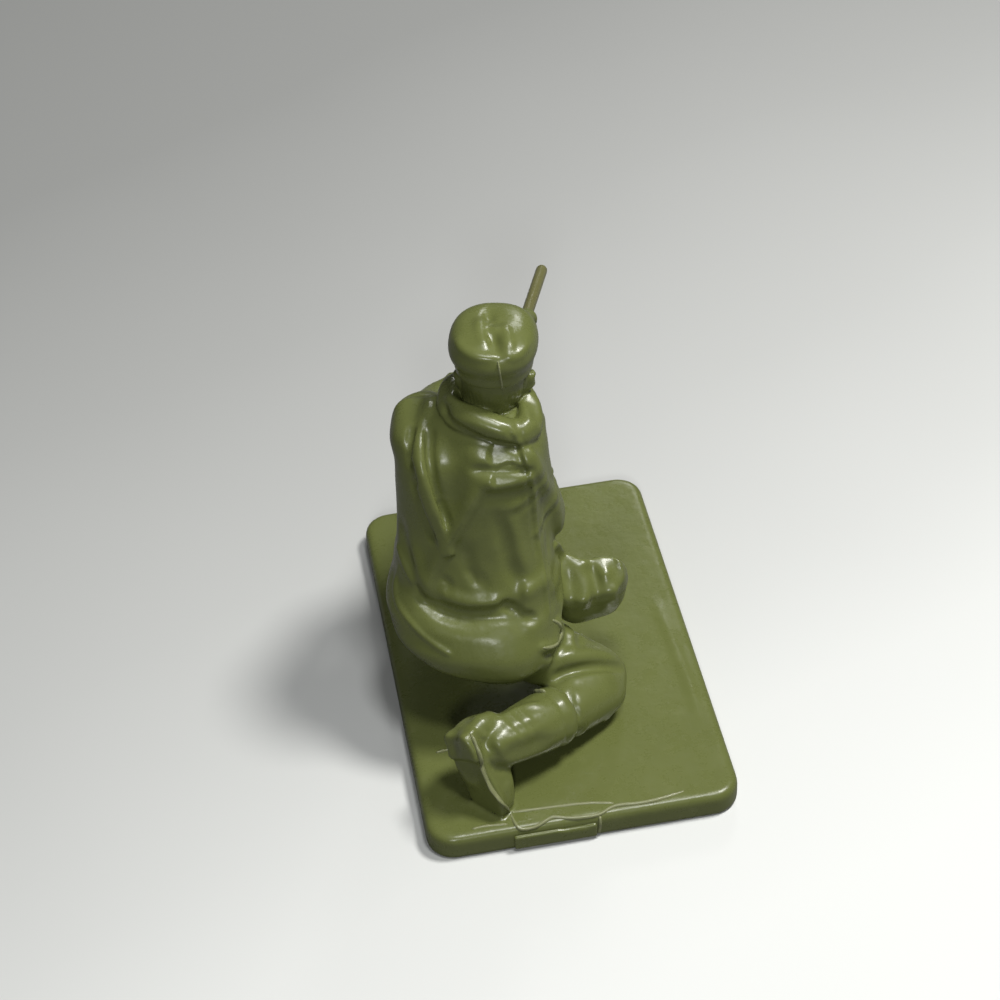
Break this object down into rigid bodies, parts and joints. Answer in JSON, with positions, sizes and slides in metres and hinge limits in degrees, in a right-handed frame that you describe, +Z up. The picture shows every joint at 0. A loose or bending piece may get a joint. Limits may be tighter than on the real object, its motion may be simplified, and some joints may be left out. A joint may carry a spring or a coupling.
{
  "type": "toy_soldier",
  "caption": "Kneeling toy soldier aiming a short carbine on a rectangular plate, moulded in glossy olive-green plastic, with cap, boots, straps and haversack",
  "frame": {"origin": "middle of the plate's underside, which rests on the table", "axes": "+Y is the way the soldier faces and the plate's long side, +X is the soldier's right-hand side, +Z is up"},
  "size_m": [0.0252, 0.0411, 0.0357],
  "materials": {
    "plate_plastic": "glossy moulded olive-green plastic, slightly scuffed",
    "uniform_plastic": "glossy moulded olive-green plastic with soft folds",
    "webbing_plastic": "glossy moulded olive-green plastic",
    "face_plastic": "glossy moulded olive-green plastic, smooth",
    "boot_plastic": "glossy moulded olive-green plastic",
    "carbine_plastic": "glossy moulded olive-green plastic",
    "thin_plastic": "thin olive plastic, a little translucent and ochre"
  },
  "bodies": {
    "root": {"base_plate": "plate_plastic", "edge_flash": "thin_plastic", "right_thigh": "uniform_plastic", "right_shin": "uniform_plastic", "right_boot": "boot_plastic", "right_sole": "boot_plastic", "left_thigh": "uniform_plastic", "left_shin": "uniform_plastic", "left_boot": "boot_plastic", "left_sole": "boot_plastic", "breeches_seat": "uniform_plastic", "tunic": "uniform_plastic", "tunic_skirt": "uniform_plastic", "waist_belt": "webbing_plastic", "belt_buckle": "webbing_plastic", "left_pouch": "webbing_plastic", "right_pouch": "webbing_plastic", "hip_pouch": "webbing_plastic", "haversack": "webbing_plastic", "haversack_flap": "webbing_plastic", "left_strap": "webbing_plastic", "right_strap": "webbing_plastic", "collar": "uniform_plastic", "neck": "face_plastic", "head": "face_plastic", "left_ear": "face_plastic", "right_ear": "face_plastic", "cap_crown": "uniform_plastic", "cap_band": "uniform_plastic", "left_upper_sleeve": "uniform_plastic", "left_lower_sleeve": "uniform_plastic", "left_cuff": "uniform_plastic", "left_hand": "face_plastic", "right_upper_sleeve": "uniform_plastic", "right_lower_sleeve": "uniform_plastic", "right_cuff": "uniform_plastic", "right_hand": "face_plastic", "carbine_stock": "carbine_plastic", "butt_plate": "carbine_plastic", "handguard": "carbine_plastic", "barrel": "thin_plastic", "barrel_band": "carbine_plastic", "receiver": "carbine_plastic", "bolt_handle": "carbine_plastic", "magazine": "carbine_plastic", "trigger_guard": "carbine_plastic", "rear_sight": "carbine_plastic"}
  },
  "joints": []
}
